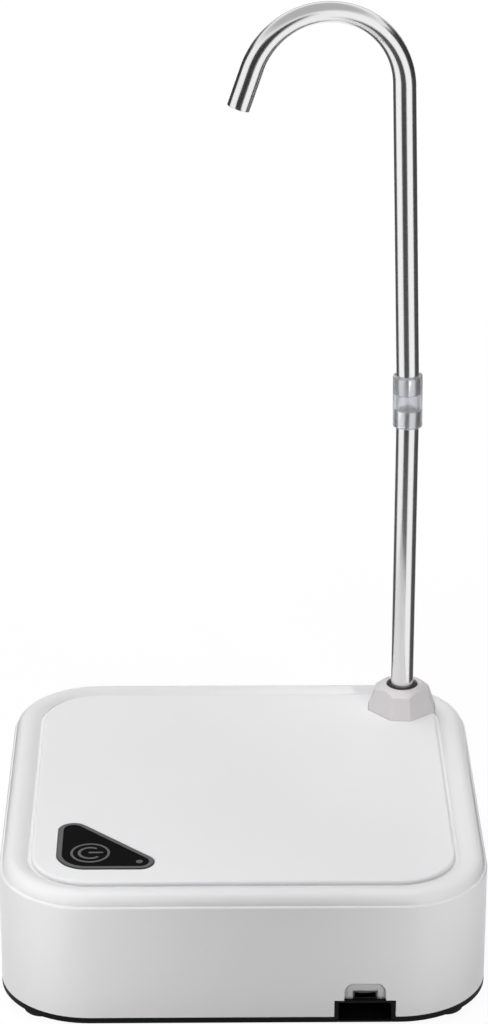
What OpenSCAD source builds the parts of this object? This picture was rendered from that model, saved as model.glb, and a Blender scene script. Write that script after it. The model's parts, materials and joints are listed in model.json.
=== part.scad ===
// Electric water jug pump: a square tray base with a hooked steel spout. Millimetres, Z up.
// The origin is on the floor under the middle of the base, the front faces -Y.

/* [Base] */

// Outside width and depth of the square base
base_w = 160; // [150:1:200]
// Outside corner radius of the base
corner_r = 30; // [24:1:34]
// Height of the rim's crown above the floor
base_h = 49; // [48:1:60]
// Thickness of the side wall
wall_t = 2.4; // [2:0.2:3]
// Thickness of the black base plate, seen as an edge all round
plate_t = 2; // [1.6:0.2:3]
// Height of the rubber feet below the base plate
foot_h = 2.5; // [2:0.5:4]
// Diameter of a rubber foot
foot_d = 12; // [10:1:13]
// Distance from the side faces to the middle of a foot
foot_in = 14; // [13:0.5:18]

/* [Top] */

// Radius of the rim's outer rounding
rim_r = 4; // [3:0.5:5]
// Inset of the groove between the rim and the tray panel
groove_in = 9.3; // [8:0.1:11]
// Drop from the rim's crown to the bottom of its inner slope
rim_drop = 1.5; // [0.6:0.1:1.6]
// Drop from the rim's crown to the tray panel
panel_drop = 0.3; // [0:0.1:0.6]
// Thickness of the tray panel
panel_t = 1.6; // [1.2:0.1:2]
// Rounding of the tray panel's upper edge
panel_edge = 1.1; // [0.5:0.1:1.1]

/* [Button] */

// Inset of the triangle's two legs from the side faces
tri_in = 18.9; // [16:0.1:24]
// Length of a leg before its corners are rounded
tri_leg = 39.2; // [38:0.1:42]
// Width of the grey bezel
bezel_w = 1.7; // [1.2:0.1:1.8]
// Diameter of the round power key
key_d = 13; // [11:0.1:13]
// Distance of the key's middle from each leg
key_in = 11; // [11:0.1:12]
// Travel of the power key
key_travel = 0.7; // [0.3:0.1:0.7]

/* [Spout] */

// Outside diameter of the steel tube
tube_d = 8; // [6:0.1:8.2]
// Wall thickness of the steel tube
tube_t = 0.5; // [0.4:0.1:0.8]
// Distance from the right side face to the spout's axis
spout_in_x = 22.2; // [21:0.1:24]
// Distance from the rear side face to the spout's axis
spout_in_y = 21.2; // [20:0.1:24]
// Height of the collar above the tray panel
collar_h = 9.2; // [6:0.1:12]
// Height of the joint sleeve's lower end above the floor
sleeve_z = 156.5; // [100:0.5:200]
// Length of the joint sleeve
sleeve_l = 18.5; // [17:0.5:30]
// Outside diameter of the joint sleeve
sleeve_d = 10.3; // [9.8:0.1:14]
// Height above the floor where the hook starts to bend
hook_z = 277.5; // [240:0.5:320]
// Bend radius of the hook, to the middle of the tube
hook_r = 26.5; // [22:0.5:40]
// How far the hook bends round
hook_turn = 159; // [120:1:180]
// Straight length after the bend
nozzle_l = 14; // [8:0.5:30]
// Turn of the hook from the left towards the front
hook_turned = 10; // [0:1:60]
// Lean of the upper tube in its soft sleeve, to the left
hook_lean = 1.7; // [0:0.1:2]

/* [Ports] */

// Distance from the right side face to the middle of the ports
port_in = 40.8; // [38:0.1:42]
// Width of the hose channel's block
channel_w = 20; // [18:0.5:22]
// Height of the hose channel's block above the plate's underside
channel_h = 8; // [7.5:0.1:8.5]
// Width of the recess round the USB socket
recess_w = 13.6; // [12:0.1:15]
// Depth of the recess round the USB socket
recess_d = 1.3; // [0.8:0.1:1.4]
// Outside diameter of the hose spigots
spigot_d = 5; // [4:0.1:5.2]
// Outside diameter of the inlet's spigot, for the hose to the jug
inlet_d = 4; // [3.6:0.1:4.2]
// Wall thickness of the hoses
hose_t = 1; // [0.8:0.1:1.1]

/* [Drive] */

// Diameter of the motor
motor_d = 24.4; // [23:0.1:25]
// Length of the motor's can
motor_l = 28; // [28:0.5:34]
// Diameter of the motor's shaft
shaft_d = 2; // [1.8:0.1:2.2]
// Teeth on each pump gear
gear_n = 12; // [10:1:12]
// Module of the pump gears
gear_m = 1; // [0.95:0.01:1.02]
// Width of the pump gears
gear_w = 5.8; // [4:0.1:5.8]
// Diameter of the battery cell
cell_d = 18.4; // [14:0.1:18.6]
// Length of the battery cell
cell_l = 65; // [50:0.5:70]

/* [Hidden] */

$fn = 64;

// Clearance between a fixed piece and its seat
seat_gap = 0.1;
// Radial clearance of a turning tube or gear
run_gap = 0.05;
// How far a cut runs past the face it opens
cut = 1;

half = base_w / 2;
floor_z = foot_h + plate_t;
part_z = base_h - rim_r;
panel_z = base_h - panel_drop;
shelf_z = panel_z - panel_t;
shelf_t = shelf_z - part_z;
inner_half = half - wall_t;
step_in = 0.8;
panel_gap = 1.1;
edge_r = 0.8;

// Screws: a pan head on a plain shank
screw_r = 1.25;
head_r = 2.6;
head_h = 1.5;
hole_gap = 0.25;
boss_r = 4.5;
boss_h = 12;
foot_sunk = 0.8;
foot_xy = half - foot_in;
tab_in = 6;
tab_drop = 7;
tab_z = part_z - tab_drop;
tab_t = 3;

// Button
tri_r1 = 10;
tri_r2 = 5;
tri_reach = tri_leg - tri_r2 / tan(22.5);
tri_o = -half + tri_in;
ledge_w = 2;
bezel_up = 0.3;
fascia_up = 0.15;
bezel_z = panel_z + bezel_up;
fascia_z = panel_z + fascia_up;
key_r = key_d / 2;
key_x = tri_o + key_in;
key_flange_w = 0.6;
key_flange_r = key_r + key_flange_w;
led_in_x = 27.2;
led_in_y = 5.1;
led_x = tri_o + led_in_x;
led_y = tri_o + led_in_y;
led_r = 1.15;
bboard_t = 1.6;
bboard_drop = 6.6;
bboard_z = part_z - bboard_drop;
switch_w = 6;
switch_h = 3.4;
switch_z = bboard_z + bboard_t;
plunger_r = 1.7;
plunger_z = switch_z + switch_h + key_travel + 0.1;
bpost_out = 1;
bpost_in = 29.5;
bpost_rear = 16.2;
bpost_x = [tri_o - bpost_out, tri_o + bpost_in];
bpost_y = tri_o + bpost_rear;

// Spout
tube_r = tube_d / 2;
bore_r = tube_r - tube_t;
spout_x = half - spout_in_x;
spout_y = half - spout_in_y;
collar_z = panel_z + collar_h;
collar_side = 10.8;
collar_corner = 11.8;
collar_turn = -5;
collar_round = 1.2;
collar_taper = 0.78;
// Radius and drop of the rings that round the collar off above its faces
collar_rings = [[8.3, 0.6], [7, 0]];
collar_shoulder = 1.7;
seal_t = 1.55;
neck_w = 2.4;
seal_r = tube_r + seal_t;
neck_r = seal_r + neck_w;
neck_l = 9;
nut_t = 4;
stop_l = 5.7;
sleeve_stop_z = sleeve_z + (sleeve_l - stop_l) * 0.48;
hook_foot_z = sleeve_stop_z + stop_l;
joint_z = sleeve_stop_z + stop_l / 2;
// Faint raised line where the tube's straight lengths meet its bend
weld = 0.02;
weld_l = 0.2;

// Ports and hoses
port_x = half - port_in;
notch_z = foot_h + channel_h;
channel_wall = 1.4;
channel_in = channel_w / 2 - channel_wall;
roof_t = 0.8;
roof_z = notch_z - roof_t;
channel_l = 38;
spigot_r = spigot_d / 2;
spigot_t = 0.8;
spigot_bore = spigot_r - spigot_t;
hose_in = spigot_r + run_gap;
hose_r = hose_in + hose_t;
hose_room = 0.2;
inlet_r = inlet_d / 2;
inlet_t = 0.6;
inlet_bore = inlet_r - inlet_t;
jug_hose_r = inlet_r + run_gap + hose_t;
inlet_z = roof_z - jug_hose_r - hose_room;
// Plate that slides into the channel's mouth and keeps the hose from dropping out
keeper_l = 14;
keeper_t = 0.7;
tongue_t = 0.5;
tongue_w = 0.7;
inlet_l = 16;
shoulder_w = 0.7;
shoulder_t = 0.4;
riser_in = 32;
riser_y = -half + riser_in;
riser_r = 3.2;
riser_l = 8;
riser_top = notch_z + riser_l;
elbow_r = 4.5;
usb_w = 7.8;
usb_h = 2.8;
usb_l = 5.6;
usb_up = 0.05;
usb_z = notch_z + usb_up;
usb_gap = 0.15;
recess_h = 14.35;
recess_z = foot_h + recess_h;

// Motor and pump: the shaft runs along X, the idler sits above the drive gear
motor_r = motor_d / 2;
motor_up = 1.5;
motor_z = floor_z + motor_up + motor_r;
gear_c = gear_n * gear_m;
idler_z = motor_z + gear_c;
port_z = motor_z + gear_c / 2;
gear_pitch_r = gear_c / 2;
gear_tip_r = gear_pitch_r + 0.85 * gear_m;
gear_root_r = gear_pitch_r - 1.2 * gear_m;
gear_base_r = gear_pitch_r * cos(20);
tooth_gap = 0.2;
pump_hw = 10.4;
pump_edge = 10;
pump_back = 4;
cavity_r = gear_tip_r + 0.1;
cavity_w = gear_w + 0.2;
gasket_t = 0.5;
pcover_t = 3;
spigot_l = 8;
hose_straight = 0.8;
bend_r = 28;
bend_a = 45;
bend_t = bend_r * tan(bend_a / 2);
corner_y = spout_y - (spout_x - port_x);
pump_y = corner_y - bend_t - hose_straight - spigot_l - pump_hw;
pump_x0 = port_x - cavity_w / 2 - pump_back;
pump_x1 = port_x + cavity_w / 2;
pcover_x = pump_x1 + gasket_t;
shaft_r = shaft_d / 2;
pin_r = 1.5;
can_t = 1;
motor_x0 = pump_x0 - motor_l;
cap_t = 1.5;
bush_r = 3;
motor_screw_y = 8.8;
motor_screw_r = 1;
corner_screw_y = 8;
corner_screw_z = 8;
clamp_w = 8;
clamp_t = 2;
clamp_l = 5;
post_r = 3;
clamp_x = motor_x0 + motor_l / 2;

// Battery
cell_r = cell_d / 2;
cell_in_x = 28;
cell_in_y = 50;
cell_up = 1.2;
cell_x = -half + cell_in_x;
cell_y = half - cell_in_y;
cell_z = floor_z + cell_up + cell_r;
tab_strip = 0.4;
strip_w = 5;
strip_h = 9;
strip_drop = 3;
cell_nose = 1.5;
lane_in = 22;

// Main board, under which the USB socket hangs
board_z = usb_z + usb_h;
board_t = 1.6;
board_reach = 48.2;
board_x0 = port_x - board_reach;
board_l = 58;
board_gap = 0.6;
board_y0 = -inner_half + board_gap;
board_w = 22;
board_top = board_z + board_t;
bscrew_in = 2.7;
bscrew_front = 3;
bscrew_rear = 19;
bscrew_right = 6.3;
bscrew = [[board_x0 + bscrew_in, board_y0 + bscrew_front], [board_x0 + bscrew_in, board_y0 + bscrew_rear],
    [port_x + bscrew_right, board_y0 + bscrew_rear]];
plug = [7, 5, 5];
plug_in = 11.2;
plug_pitch = 12;
plug_rear = 17;
plug_front = 7;
plug_batt = [board_x0 + plug_in, board_y0 + plug_rear];
plug_motor = [board_x0 + plug_in + plug_pitch, board_y0 + plug_rear];
plug_key = [board_x0 + plug_in, board_y0 + plug_front];
wire_r = 0.7;
wire_pitch = 2.4;
wire_up = 2.5;
wire_z = board_top + wire_up;

// Solid square with rounded corners
module slab(w, r, h) {
    for (i = [0:3])
        rotate(90 * i)
            translate([w / 2 - r, w / 2 - r, 0])
                rotate_extrude(angle = 90)
                    square([r, h]);
    translate([-w / 2, r - w / 2, 0])
        cube([w, w - 2 * r, h]);
    translate([r - w / 2, -w / 2, 0])
        cube([w - 2 * r, w, h]);
}

// Carries a wall section round a square with rounded corners: x = 0 is the outer face, minus is inwards
module around(w, r) {
    for (i = [0:3])
        rotate(90 * i) {
            translate([w / 2 - r, w / 2 - r, 0])
                rotate_extrude(angle = 90)
                    translate([r, 0])
                        children();
            translate([w / 2, w / 2 - r, 0])
                rotate([90, 0, 0])
                    linear_extrude(w - 2 * r)
                        children();
        }
}

module tube(ro, ri, l) {
    difference() {
        cylinder(r = ro, h = l);
        translate([0, 0, -cut])
            cylinder(r = ri, h = l + 2 * cut);
    }
}

module along_x() {
    rotate([0, 90, 0])
        children();
}

module along_y() {
    rotate([-90, 0, 0])
        children();
}

// Pan head screw, its head's underside at z = 0 and its shank upwards
module screw(l, r, hr, hh) {
    cylinder(r = r, h = l);
    difference() {
        translate([0, 0, -hh])
            cylinder(r = hr, h = hh);
        translate([0, 0, -hh - cut])
            cylinder(r = hr * 0.5, h = hh * 0.5 + cut, $fn = 6);
    }
}

module at_feet() {
    for (sx = [-1, 1], sy = [-1, 1])
        translate([sx * foot_xy, sy * foot_xy, 0])
            children();
}

module at_tabs() {
    for (i = [0:3])
        rotate(90 * i)
            translate([inner_half - tab_in, 0, 0])
                children();
}

// Rounded triangle of the button, drawn in by d
module triangle(d) {
    translate([tri_o, tri_o])
        hull() {
            translate([tri_r1, tri_r1])
                circle(r = tri_r1 - d);
            translate([tri_r2, tri_reach])
                circle(r = tri_r2 - d);
            translate([tri_reach, tri_r2])
                circle(r = tri_r2 - d);
        }
}

// Outline of the collar, a square with cut and rounded corners: k draws it in, g grows it
module collar_plan(g, k = 1) {
    long = collar_corner - collar_round;
    short = sqrt(2) * (collar_side - collar_round) - long;
    rotate(collar_turn)
        hull()
            for (i = [0:3], s = [-1, 1])
                rotate(90 * i)
                    translate([k * long, s * k * short])
                        circle(r = collar_round + g);
}

module at_spout(z) {
    translate([spout_x, spout_y, z])
        children();
}

// Leans what is drawn on the spout's axis as the upper tube leans
module leaned() {
    at_spout(joint_z)
        rotate([0, -hook_lean, 0])
            translate([0, 0, -joint_z])
                children();
}

// Saddle rib for a round body of radius r whose axis is at height h above the floor
module saddle(r, h, w) {
    difference() {
        translate([-1.5, -w / 2, 0])
            cube([3, w, h * 0.75]);
        translate([-3, 0, h])
            along_x()
                cylinder(r = r + seat_gap, h = 6);
    }
}

// Clamp posts on both sides of a round body
module posts(r, h) {
    for (s = [-1, 1])
        translate([0, s * (r + clamp_t + clamp_l / 2 + 1.2), 0])
            difference() {
                cylinder(r = post_r, h = h);
                translate([0, 0, h - 8])
                    cylinder(r = screw_r, h = 8 + cut);
            }
}

// Clamp arch over a round body whose axis is X at z = 0
module clamp(r) {
    reach = r + clamp_t + clamp_l + 1.2;
    difference() {
        union() {
            translate([-clamp_w / 2, 0, 0])
                along_x()
                    cylinder(r = r + seat_gap + clamp_t, h = clamp_w);
            translate([-clamp_w / 2, -reach, 0])
                cube([clamp_w, 2 * reach, clamp_t]);
        }
        translate([-clamp_w, 0, 0])
            along_x()
                cylinder(r = r + seat_gap, h = 2 * clamp_w);
        translate([-clamp_w, -2 * reach, -4 * r])
            cube([2 * clamp_w, 4 * reach, 4 * r]);
        for (s = [-1, 1])
            translate([0, s * (r + clamp_t + clamp_l / 2 + 1.2), -cut])
                cylinder(r = screw_r + hole_gap, h = clamp_t + 2 * cut);
    }
}

module base_plate() {
    lip_l = base_w - 2 * corner_r - 4;
    color([0.07, 0.07, 0.075]) {
        difference() {
            union() {
                translate([0, 0, foot_h])
                    slab(base_w, corner_r, plate_t);
                for (i = [0:3])
                    rotate(90 * i)
                        translate([inner_half - seat_gap - 1.4, -lip_l / 2, floor_z - 0.5])
                            cube([1.4, lip_l, 4]);
                translate([port_x - channel_w / 2 + seat_gap, -half, foot_h])
                    cube([channel_w - 2 * seat_gap, channel_l, channel_h - seat_gap / 2]);
                translate([port_x - 6, pump_y - 6, floor_z - 0.5])
                    cube([8, 12, motor_z - pump_edge - floor_z + 0.5]);
                for (k = [5, motor_l - 6])
                    translate([motor_x0 + k, pump_y, floor_z - 0.5])
                        saddle(motor_r, motor_z - floor_z + 0.5, 22);
                translate([clamp_x, pump_y, floor_z - 0.5])
                    posts(motor_r, motor_z - floor_z + 0.5);
                for (k = [-0.32, 0.32])
                    translate([cell_x, cell_y + k * cell_l, floor_z - 0.5])
                        rotate(90)
                            saddle(cell_r, cell_z - floor_z + 0.5, 17);
                translate([cell_x, cell_y, floor_z - 0.5])
                    rotate(90)
                        posts(cell_r, cell_z - floor_z + 0.5);
                for (p = bscrew)
                    translate([p[0], p[1], floor_z - 0.5])
                        cylinder(r = 2.4, h = board_z - floor_z + 0.5);
            }
            translate([port_x - channel_in, -half - cut, foot_h - cut])
                cube([2 * channel_in, channel_l - channel_wall + cut, roof_z - foot_h + cut]);
            translate([port_x, riser_y, roof_z - cut])
                cylinder(r = riser_r + seat_gap, h = roof_t + 2 * cut);
            keeper_tongues(seat_gap);
            for (p = bscrew)
                translate([p[0], p[1], board_z - 2.6])
                    cylinder(r = 1, h = 2.6 + cut);
            at_feet() {
                translate([0, 0, foot_h - cut])
                    cylinder(r = foot_d / 2 + seat_gap, h = foot_sunk + cut);
                cylinder(r = screw_r + hole_gap, h = floor_z + cut);
            }
        }
    }
}

module housing() {
    wall_h = part_z - floor_z;
    color([0.9, 0.9, 0.91])
        difference() {
            union() {
                translate([0, 0, floor_z])
                    around(base_w, corner_r)
                        union() {
                            translate([-wall_t, 0])
                                square([wall_t, wall_h - edge_r]);
                            translate([-wall_t, wall_h - edge_r])
                                square([wall_t - edge_r, edge_r]);
                            intersection() {
                                translate([-edge_r, wall_h - edge_r])
                                    circle(r = edge_r);
                                translate([-edge_r, wall_h - edge_r])
                                    square(edge_r);
                            }
                        }
                at_feet()
                    translate([0, 0, floor_z])
                        cylinder(r = boss_r, h = boss_h);
                for (i = [0:3])
                    rotate(45 + 90 * i)
                        translate([foot_xy * sqrt(2), -1.2, floor_z])
                            cube([(half - corner_r) * sqrt(2) + corner_r - 1 - foot_xy * sqrt(2), 2.4, boss_h]);
                at_tabs()
                    translate([-4, -6, tab_z - tab_t])
                        cube([tab_in + 5, 12, tab_t]);
            }
            at_feet()
                translate([0, 0, floor_z - cut])
                    cylinder(r = screw_r, h = boss_h - 1 + cut);
            at_tabs()
                translate([0, 0, tab_z - tab_t - cut])
                    cylinder(r = screw_r + hole_gap, h = tab_t + 2 * cut);
            translate([port_x - channel_w / 2, -half - cut, floor_z - cut])
                cube([channel_w, wall_t + 2 * cut, notch_z - floor_z + cut]);
            translate([port_x - usb_w / 2 - usb_gap, -half - cut, notch_z - cut])
                cube([usb_w + 2 * usb_gap, wall_t + 2 * cut, usb_h + usb_gap + 0.05 + cut]);
            translate([port_x, -half + recess_d, 0])
                rotate([90, 0, 0])
                    linear_extrude(recess_d + cut)
                        hull() {
                            for (s = [-1, 1])
                                translate([s * (recess_w / 2 - 3), recess_z - 3])
                                    circle(r = 3);
                            translate([-recess_w / 2, notch_z - cut])
                                square([recess_w, cut]);
                        }
        }
}

module top_cover() {
    in = wall_t + seat_gap;
    slope_l = groove_in - rim_r - step_in;
    slope_r = (slope_l * slope_l + rim_drop * rim_drop) / (2 * rim_drop);
    color([0.93, 0.93, 0.94])
        difference() {
            union() {
                translate([0, 0, part_z])
                    around(base_w - 2 * step_in, corner_r - step_in)
                        union() {
                            intersection() {
                                translate([-rim_r, 0])
                                    circle(r = rim_r);
                                translate([-rim_r, 0])
                                    square(rim_r);
                            }
                            intersection() {
                                translate([-rim_r, rim_r - slope_r])
                                    circle(r = slope_r);
                                translate([-rim_r - slope_l, 0])
                                    square([slope_l, rim_r]);
                            }
                        }
                translate([0, 0, part_z])
                    slab(base_w - 2 * groove_in + 2, corner_r - groove_in + 1, shelf_t);
                translate([0, 0, part_z - 3])
                    around(base_w - 2 * in, corner_r - in)
                        translate([-1.4, 0])
                            square([1.4, 3.5]);
                at_tabs()
                    translate([0, 0, tab_z])
                        cylinder(r = 3.5, h = part_z - tab_z + 0.5);
                for (x = bpost_x)
                    translate([x, bpost_y, switch_z])
                        cylinder(r = 2.4, h = part_z - switch_z + 0.5);
            }
            at_tabs()
                translate([0, 0, tab_z - cut])
                    cylinder(r = screw_r, h = 6 + cut);
            for (x = bpost_x)
                translate([x, bpost_y, switch_z - cut])
                    cylinder(r = 1, h = 4 + cut);
            translate([0, 0, part_z - cut])
                linear_extrude(shelf_t + 2 * cut)
                    triangle(bezel_w + ledge_w);
            translate([led_x, led_y, part_z - cut])
                cylinder(r = led_r + 0.2, h = shelf_t + 2 * cut);
            at_spout(part_z - cut)
                cylinder(r = neck_r + seat_gap, h = shelf_t + 2 * cut);
            at_spout(shelf_z)
                linear_extrude(rim_r)
                    collar_plan(0.15);
        }
}

module tray_panel() {
    w = base_w - 2 * groove_in - 2 * seat_gap - 2 * panel_gap;
    r = corner_r - groove_in - seat_gap - panel_gap;
    color([0.94, 0.94, 0.95])
        difference() {
            translate([0, 0, shelf_z])
                union() {
                    slab(w - 2 * panel_edge, r - panel_edge, panel_t);
                    around(w, r)
                        union() {
                            translate([-panel_edge, 0])
                                square([panel_edge, panel_t - panel_edge]);
                            intersection() {
                                translate([-panel_edge, panel_t - panel_edge])
                                    circle(r = panel_edge);
                                translate([-panel_edge, panel_t - panel_edge])
                                    square(panel_edge);
                            }
                        }
                }
            translate([0, 0, shelf_z - cut])
                linear_extrude(panel_t + 2 * cut)
                    triangle(-0.15);
            at_spout(shelf_z - cut)
                linear_extrude(panel_t + 2 * cut)
                    collar_plan(0.15);
        }
}

module rubber_feet() {
    top = foot_h + foot_sunk;
    color([0.05, 0.05, 0.05])
        at_feet()
            difference() {
                union() {
                    cylinder(r1 = foot_d / 2 - 0.5, r2 = foot_d / 2, h = 0.5);
                    translate([0, 0, 0.5])
                        cylinder(r = foot_d / 2, h = top - 0.5);
                }
                translate([0, 0, top - head_h - 0.2])
                    cylinder(r = head_r + 0.3, h = head_h + cut);
            }
}

module base_screws() {
    color([0.7, 0.7, 0.72])
        at_feet()
            translate([0, 0, foot_h + foot_sunk])
                screw(plate_t + boss_h - 3, screw_r, head_r, head_h);
}

module cover_screws() {
    color([0.7, 0.7, 0.72])
        at_tabs()
            translate([0, 0, tab_z - tab_t])
                screw(tab_t + 5, screw_r, head_r, head_h);
}

module button_bezel() {
    h = bezel_z - shelf_z;
    color([0.36, 0.36, 0.38])
        translate([0, 0, shelf_z])
            difference() {
                union() {
                    linear_extrude(h - 0.4)
                        triangle(0);
                    translate([0, 0, h - 0.4])
                        linear_extrude(0.4)
                            triangle(0.4);
                }
                translate([0, 0, -cut])
                    linear_extrude(h + 2 * cut)
                        triangle(bezel_w);
            }
}

module button_fascia() {
    color([0.05, 0.05, 0.055])
        difference() {
            translate([0, 0, shelf_z])
                linear_extrude(fascia_z - shelf_z)
                    triangle(bezel_w + 0.05);
            translate([key_x, key_x, shelf_z - cut])
                cylinder(r = key_r + seat_gap, h = panel_t + 3);
            translate([led_x, led_y, shelf_z - cut])
                cylinder(r = led_r + 0.05, h = panel_t + 3);
        }
}

module power_button() {
    flange_z = shelf_z - 0.15;
    color([0.06, 0.06, 0.065])
        translate([key_x, key_x, 0]) {
            translate([0, 0, flange_z - 1.3])
                cylinder(r = key_flange_r, h = 1.3);
            translate([0, 0, flange_z - 0.5])
                cylinder(r = key_r, h = fascia_z - flange_z + 0.5);
            translate([0, 0, plunger_z])
                cylinder(r = 2, h = flange_z - plunger_z - 0.5);
        }
}

module led_lens() {
    color([0.9, 0.95, 1, 0.7])
        translate([led_x, led_y, 0]) {
            translate([0, 0, switch_z + 1])
                cylinder(r = led_r, h = fascia_z - switch_z - 1);
            translate([0, 0, switch_z + 1])
                cylinder(r = led_r + 0.8, h = 1);
        }
}

module button_board() {
    color([0.1, 0.35, 0.18])
        difference() {
            translate([tri_o - 4, tri_o + 1, bboard_z])
                cube([36.5, 18, bboard_t]);
            for (x = bpost_x)
                translate([x, bpost_y, bboard_z - cut])
                    cylinder(r = 1.2, h = bboard_t + 2 * cut);
        }
}

module tact_switch() {
    color([0.15, 0.15, 0.16])
        difference() {
            translate([key_x - switch_w / 2, key_x - switch_w / 2, switch_z])
                cube([switch_w, switch_w, switch_h]);
            translate([key_x, key_x, switch_z + 0.8])
                cylinder(r = plunger_r + 0.1, h = switch_h);
        }
}

module switch_plunger() {
    color([0.8, 0.75, 0.6])
        translate([key_x, key_x, switch_z + 1 + key_travel])
            cylinder(r = plunger_r, h = plunger_z - switch_z - 1 - key_travel);
}

module status_led() {
    color([0.95, 0.95, 0.8])
        translate([led_x - 1.6, led_y - 1.4, switch_z])
            cube([3.2, 2.8, 1]);
}

module button_screws() {
    color([0.7, 0.7, 0.72])
        for (x = bpost_x)
            translate([x, bpost_y, bboard_z])
                screw(bboard_t + 3.4, 1, 1.9, 1.2);
}

module spout_collar() {
    color([0.86, 0.85, 0.86])
        at_spout(0)
            difference() {
                union() {
                    hull() {
                        translate([0, 0, shelf_z])
                            linear_extrude(panel_t + 0.3)
                                collar_plan(0);
                        translate([0, 0, collar_z - collar_shoulder])
                            linear_extrude(0.1)
                                collar_plan(0, collar_taper);
                        for (ring = collar_rings)
                            translate([0, 0, collar_z - ring[1] - 0.1])
                                cylinder(r = ring[0], h = 0.1);
                    }
                    translate([0, 0, part_z - neck_l])
                        cylinder(r = neck_r, h = neck_l + shelf_t + 0.5);
                }
                translate([0, 0, part_z - neck_l - cut])
                    cylinder(r = seal_r + run_gap, h = 60);
            }
}

module collar_nut() {
    color([0.8, 0.8, 0.8])
        at_spout(part_z - nut_t)
            difference() {
                cylinder(r = neck_r + 3.6, h = nut_t, $fn = 6);
                translate([0, 0, -cut])
                    cylinder(r = neck_r, h = nut_t + 2 * cut);
            }
}

module collar_seal() {
    z0 = part_z + 0.4;
    color([0.12, 0.12, 0.13])
        at_spout(z0)
            tube(seal_r, tube_r + run_gap, collar_z - 0.8 - z0);
}

module spout_elbow() {
    low = port_z - spigot_r - 3;
    color([0.2, 0.2, 0.22])
        at_spout(0)
            difference() {
                union() {
                    translate([0, 0, low])
                        cylinder(r = 6, h = part_z - neck_l - low);
                    translate([0, 0, part_z - neck_l - 2.5])
                        cylinder(r = neck_r, h = 2.5);
                    translate([0, 0, part_z - neck_l - 0.5])
                        cylinder(r = seal_r, h = neck_l - 0.5);
                    translate([0, 0, port_z])
                        rotate(180 + bend_a)
                            along_x()
                                cylinder(r = spigot_r, h = 13.3);
                }
                translate([0, 0, part_z - neck_l - 6])
                    cylinder(r = tube_r + run_gap, h = 60);
                translate([0, 0, port_z])
                    cylinder(r = bore_r - 0.5, h = 60);
                translate([0, 0, port_z])
                    rotate(180 + bend_a)
                        along_x()
                            cylinder(r = spigot_bore, h = 20);
            }
}

module elbow_o_ring() {
    r = 0.68;
    color([0.1, 0.1, 0.1])
        at_spout(part_z - 1 + r)
            rotate_extrude()
                translate([seal_r - r, 0])
                    circle(r = r);
}

module lower_tube() {
    z0 = part_z - neck_l - 6;
    color([0.78, 0.78, 0.8])
        at_spout(z0)
            tube(tube_r, bore_r, sleeve_stop_z - z0);
}

module joint_sleeve() {
    color([0.9, 0.93, 0.95, 0.4])
        difference() {
            at_spout(sleeve_z)
                cylinder(r = sleeve_d / 2, h = sleeve_l);
            at_spout(sleeve_z - cut)
                cylinder(r = bore_r, h = joint_z - sleeve_z + stop_l + cut);
            at_spout(sleeve_z - cut)
                cylinder(r = tube_r + run_gap, h = sleeve_stop_z - sleeve_z + cut);
            leaned()
                translate([0, 0, hook_foot_z])
                    cylinder(r = tube_r + run_gap, h = sleeve_l);
        }
}

module hook_tube() {
    color([0.78, 0.78, 0.8])
        leaned()
            rotate(180 + hook_turned)
                translate([hook_r, 0, hook_z])
                    rotate([90, 0, 0]) {
                        translate([-hook_r, hook_foot_z - hook_z, 0])
                            along_y()
                                tube(tube_r, bore_r, hook_z - hook_foot_z);
                        rotate(180 - hook_turn) {
                            rotate_extrude(angle = hook_turn)
                                translate([hook_r, 0])
                                    difference() {
                                        circle(r = tube_r);
                                        circle(r = bore_r);
                                    }
                            translate([hook_r, 0, 0])
                                rotate([90, 0, 0]) {
                                    tube(tube_r, bore_r, nozzle_l);
                                    translate([0, 0, -weld_l])
                                        tube(tube_r + weld, bore_r - weld, 2 * weld_l);
                                }
                        }
                        translate([-hook_r, 0, 0])
                            along_y()
                                translate([0, 0, -weld_l])
                                    tube(tube_r + weld, bore_r - weld, 2 * weld_l);
                    }
}

// Tongues on both sides of the keeper, grown by g to cut their grooves
module keeper_tongues(g) {
    reach = channel_in - seat_gap + tongue_w + g;
    translate([port_x - reach, -half - (g > 0 ? cut : 0), foot_h + keeper_t - tongue_t - g])
        cube([2 * reach, keeper_l + g + (g > 0 ? cut : 0), tongue_t + 2 * g]);
}

module hose_keeper() {
    color([0.07, 0.07, 0.075])
        union() {
            translate([port_x - channel_in + seat_gap, -half, foot_h])
                cube([2 * (channel_in - seat_gap), keeper_l, keeper_t]);
            keeper_tongues(0);
        }
}

module inlet_fitting() {
    low = inlet_z - inlet_r - 0.3;
    color([0.2, 0.2, 0.22])
        translate([port_x, riser_y, 0])
            difference() {
                union() {
                    translate([0, 0, low])
                        cylinder(r = elbow_r, h = roof_z - low);
                    translate([0, 0, roof_z - 0.5])
                        cylinder(r = riser_r, h = riser_top - roof_z + 0.5);
                    translate([0, 0, inlet_z])
                        rotate(-90)
                            along_x() {
                                cylinder(r = inlet_r + shoulder_w, h = elbow_r + shoulder_t);
                                cylinder(r = inlet_r, h = inlet_l);
                            }
                }
                translate([0, 0, inlet_z])
                    cylinder(r = spigot_bore, h = 60);
                translate([0, 0, inlet_z])
                    rotate(-90)
                        along_x()
                            cylinder(r = inlet_bore, h = 60);
            }
}

module inlet_elbow() {
    color([0.2, 0.2, 0.22])
        translate([port_x, riser_y, 0])
            difference() {
                union() {
                    translate([0, 0, notch_z])
                        cylinder(r = elbow_r, h = port_z + spigot_r + 1.5 - notch_z);
                    translate([0, 0, port_z])
                        along_y()
                            cylinder(r = spigot_r, h = elbow_r + spigot_l);
                }
                translate([0, 0, notch_z - cut])
                    cylinder(r = riser_r, h = riser_top - notch_z + cut);
                translate([0, 0, notch_z])
                    cylinder(r = spigot_bore, h = port_z - notch_z);
                translate([0, 0, port_z])
                    along_y()
                        cylinder(r = spigot_bore, h = 60);
            }
}

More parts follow.
